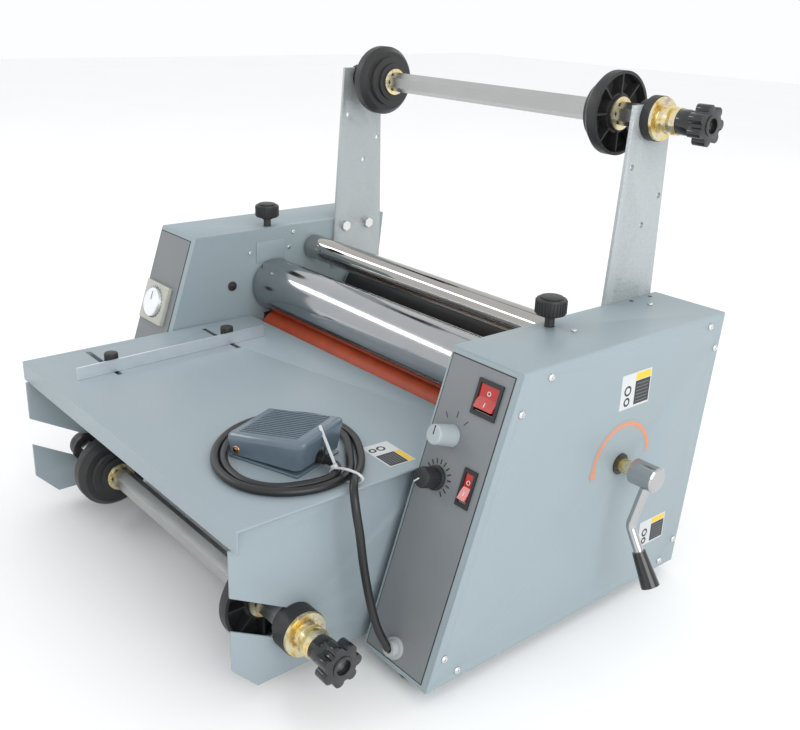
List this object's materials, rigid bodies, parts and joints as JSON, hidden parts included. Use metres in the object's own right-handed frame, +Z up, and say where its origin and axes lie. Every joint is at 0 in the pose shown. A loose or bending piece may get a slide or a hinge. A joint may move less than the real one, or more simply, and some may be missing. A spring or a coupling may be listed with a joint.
{
  "type": "tabletop roll laminator",
  "caption": "Tabletop roll laminator: two sheet-metal side housings carry heated, pressure and pull rollers, a feed table, two film shafts, a pressure crank and a foot switch on a cord.",
  "frame": {"origin": "middle of the standing box on the bench, at the rubber feet's undersides", "axes": "+X along the rollers towards the crank side, -Y towards the operator and the feed table, +Z up"},
  "size_m": [0.5937, 0.4392, 0.4352],
  "materials": {
    "housing_paint": "light bluish grey powder coat",
    "overlay_grey": "mid grey panel",
    "bracket_paint": "hammered light grey paint",
    "steel": "turned steel",
    "zinc": "zinc plated",
    "brass": "yellow zinc",
    "chrome": "polished chrome",
    "aluminium": "satin anodised",
    "black_plastic": "matte black moulded",
    "gloss_black": "gloss black moulded",
    "red_plastic": "red translucent rocker",
    "grey_plastic": "light grey moulded",
    "cream_plastic": "beige moulded",
    "dial_silver": "silver dial",
    "pedal_blue": "blue grey cast and painted",
    "silicone_red": "red silicone",
    "black_rubber": "black rubber",
    "cable_black": "black sheath",
    "board_green": "circuit board",
    "motor_dark": "dark motor enamel"
  },
  "bodies": {
    "frame": {"right_frame_plate": "housing_paint", "left_frame_plate": "housing_paint", "right_cover": "housing_paint", "left_cover": "housing_paint", "right_control_panel": "overlay_grey", "left_control_panel": "overlay_grey", "tie_bars": "steel", "rubber_feet": "black_rubber", "feed_table": "housing_paint", "left_skirt": "housing_paint", "right_skirt": "housing_paint", "left_bracket": "bracket_paint", "right_bracket": "bracket_paint", "bracket_bolts": "zinc", "cover_screws": "zinc", "bearings": "black_plastic", "heater_rod": "steel", "gear_motor": "motor_dark", "drive_chain": "steel", "control_board": "board_green", "power_inlet": "black_plastic", "switch_cases": "black_plastic", "controller_case": "cream_plastic", "cord_gland": "grey_plastic", "pedal_base": "black_plastic", "foot_cord": "cable_black"},
    "heat_roller": {"heat_roller": "chrome"},
    "motor_drive": {"motor_sprocket": "steel"},
    "pressure_carriage": {"pressure_blocks": "steel"},
    "pressure_roller": {"pressure_roller_core": "steel", "pressure_roller_sleeve": "silicone_red"},
    "upper_pull": {"upper_pull_roller": "black_rubber"},
    "lower_pull": {"lower_pull_roller": "black_rubber"},
    "idler": {"idler_bar": "chrome"},
    "crank": {"crank_shaft": "brass", "crank_arm": "chrome", "crank_grip": "gloss_black"},
    "left_pressure": {"left_pressure_knob": "black_plastic"},
    "right_pressure": {"right_pressure_knob": "black_plastic"},
    "power_switch": {"power_rocker": "red_plastic"},
    "mode_switch": {"mode_rocker": "red_plastic"},
    "selector": {"selector_knob": "grey_plastic"},
    "speed": {"speed_knob": "black_plastic"},
    "temperature": {"controller_dial": "dial_silver"},
    "guide": {"side_guide": "aluminium"},
    "front_guide": {"front_guide_knob": "black_plastic"},
    "rear_guide": {"rear_guide_knob": "black_plastic"},
    "pedal": {"pedal_cover": "pedal_blue"},
    "top_carrier": {"top_collars": "black_plastic"},
    "top_shaft": {"top_hex_shaft": "zinc", "top_tension_hub": "brass"},
    "top_left_chuck": {"top_left_chuck": "black_plastic"},
    "top_right_chuck": {"top_right_chuck": "black_plastic"},
    "top_star": {"top_star_knob": "gloss_black"},
    "low_carrier": {"low_collars": "black_plastic"},
    "low_shaft": {"low_hex_shaft": "zinc", "low_tension_hub": "brass"},
    "low_left_chuck": {"low_left_chuck": "black_plastic"},
    "low_right_chuck": {"low_right_chuck": "black_plastic"},
    "low_star": {"low_star_knob": "gloss_black"}
  },
  "joints": [
    {"name": "heat_roller_spin", "type": "hinge", "parent": "frame", "child": "heat_roller", "pos_m": [-0.026, 0.0645, 0.1832], "axis": [1, 0, 0], "continuous": true},
    {"name": "motor_spin", "type": "hinge", "parent": "frame", "child": "motor_drive", "pos_m": [-0.026, 0.137, 0.085], "axis": [1, 0, 0], "continuous": true},
    {"name": "upper_pull_spin", "type": "hinge", "parent": "frame", "child": "upper_pull", "pos_m": [-0.026, 0.178, 0.1666], "axis": [1, 0, 0], "continuous": true},
    {"name": "lower_pull_spin", "type": "hinge", "parent": "frame", "child": "lower_pull", "pos_m": [-0.026, 0.178, 0.1276], "axis": [1, 0, 0], "continuous": true},
    {"name": "idler_spin", "type": "hinge", "parent": "frame", "child": "idler", "pos_m": [-0.026, 0.1176, 0.2183], "axis": [1, 0, 0], "continuous": true},
    {"name": "crank_turn", "type": "hinge", "parent": "frame", "child": "crank", "pos_m": [-0.026, 0.0945, 0.1394], "axis": [1, 0, 0], "range_deg": [-180, 0]},
    {"name": "pressure_lift", "type": "slide", "parent": "frame", "child": "pressure_carriage", "axis": [0, 0, 1], "range_m": [-0.008, 0]},
    {"name": "pressure_roller_spin", "type": "hinge", "parent": "pressure_carriage", "child": "pressure_roller", "pos_m": [-0.026, 0.0645, 0.1323], "axis": [1, 0, 0], "continuous": true},
    {"name": "left_pressure_turn", "type": "hinge", "parent": "frame", "child": "left_pressure", "pos_m": [-0.232, 0.0645, 0.245], "axis": [0, 0, 1], "range_deg": [-180, 180]},
    {"name": "right_pressure_turn", "type": "hinge", "parent": "frame", "child": "right_pressure", "pos_m": [0.18, 0.0645, 0.245], "axis": [0, 0, 1], "range_deg": [-180, 180]},
    {"name": "power_rocker_tilt", "type": "hinge", "parent": "frame", "child": "power_switch", "pos_m": [0.2166, -0.03311, 0.21765], "axis": [1, 0, 0], "range_deg": [0, 18]},
    {"name": "mode_rocker_tilt", "type": "hinge", "parent": "frame", "child": "mode_switch", "pos_m": [0.2224, -0.05421, 0.15532], "axis": [1, 0, 0], "range_deg": [0, 18]},
    {"name": "selector_turn", "type": "hinge", "parent": "frame", "child": "selector", "pos_m": [0.1933, -0.0493, 0.18543], "axis": [0, -0.9472, 0.3206], "range_deg": [-45, 45]},
    {"name": "speed_turn", "type": "hinge", "parent": "frame", "child": "speed", "pos_m": [0.1915, -0.0602, 0.15323], "axis": [0, -0.9472, 0.3206], "range_deg": [0, 270]},
    {"name": "temperature_turn", "type": "hinge", "parent": "frame", "child": "temperature", "pos_m": [-0.2645, -0.05478, 0.16924], "axis": [0, -0.9472, 0.3206], "range_deg": [-270, 0]},
    {"name": "guide_slide", "type": "slide", "parent": "frame", "child": "guide", "axis": [1, 0, 0], "range_m": [-0.044, 0.015]},
    {"name": "front_guide_turn", "type": "hinge", "parent": "guide", "child": "front_guide", "pos_m": [-0.15463, -0.15784, 0.159], "axis": [0, 0, 1], "range_deg": [-360, 360]},
    {"name": "rear_guide_turn", "type": "hinge", "parent": "guide", "child": "rear_guide", "pos_m": [-0.15993, -0.03155, 0.159], "axis": [0, 0, 1], "range_deg": [-360, 360]},
    {"name": "top_lift", "type": "slide", "parent": "frame", "child": "top_carrier", "axis": [0, 0, 1], "range_m": [0, 0.05]},
    {"name": "top_spin", "type": "hinge", "parent": "top_carrier", "child": "top_shaft", "pos_m": [-0.026, 0.183, 0.4002], "axis": [1, 0, 0], "continuous": true},
    {"name": "top_left_chuck_slide", "type": "slide", "parent": "top_shaft", "child": "top_left_chuck", "axis": [1, 0, 0], "range_m": [-0.018, 0.12]},
    {"name": "top_right_chuck_slide", "type": "slide", "parent": "top_shaft", "child": "top_right_chuck", "axis": [1, 0, 0], "range_m": [-0.12, 0.018]},
    {"name": "top_star_turn", "type": "hinge", "parent": "top_shaft", "child": "top_star", "pos_m": [0.214, 0.183, 0.4002], "axis": [1, 0, 0], "range_deg": [-180, 180]},
    {"name": "low_lift", "type": "slide", "parent": "frame", "child": "low_carrier", "axis": [0, -0.866, 0.5], "range_m": [0, 0.06]},
    {"name": "low_spin", "type": "hinge", "parent": "low_carrier", "child": "low_shaft", "pos_m": [-0.026, -0.168, 0.0521], "axis": [1, 0, 0], "continuous": true},
    {"name": "low_left_chuck_slide", "type": "slide", "parent": "low_shaft", "child": "low_left_chuck", "axis": [1, 0, 0], "range_m": [-0.045, 0.09]},
    {"name": "low_right_chuck_slide", "type": "slide", "parent": "low_shaft", "child": "low_right_chuck", "axis": [1, 0, 0], "range_m": [-0.09, 0.03]},
    {"name": "low_star_turn", "type": "hinge", "parent": "low_shaft", "child": "low_star", "pos_m": [0.214, -0.168, 0.0521], "axis": [1, 0, 0], "range_deg": [-180, 180]},
    {"name": "pedal_press", "type": "hinge", "parent": "frame", "child": "pedal", "pos_m": [0.06679, -0.13643, 0.1595], "axis": [-0.3173, 0.9483, 0], "range_deg": [0, 3], "stiffness_Nm_per_rad": 2, "springref_deg": -5.73}
  ],
  "couplings": [
    {"joint": "motor_spin", "follows": "heat_roller_spin", "ratio": 1.5385},
    {"joint": "upper_pull_spin", "follows": "heat_roller_spin", "ratio": 1.4819},
    {"joint": "lower_pull_spin", "follows": "heat_roller_spin", "ratio": -1.4819},
    {"joint": "pressure_roller_spin", "follows": "heat_roller_spin", "ratio": -1.3},
    {"joint": "crank_turn", "follows": "pressure_lift", "rad_per_m": 392.7}
  ]
}
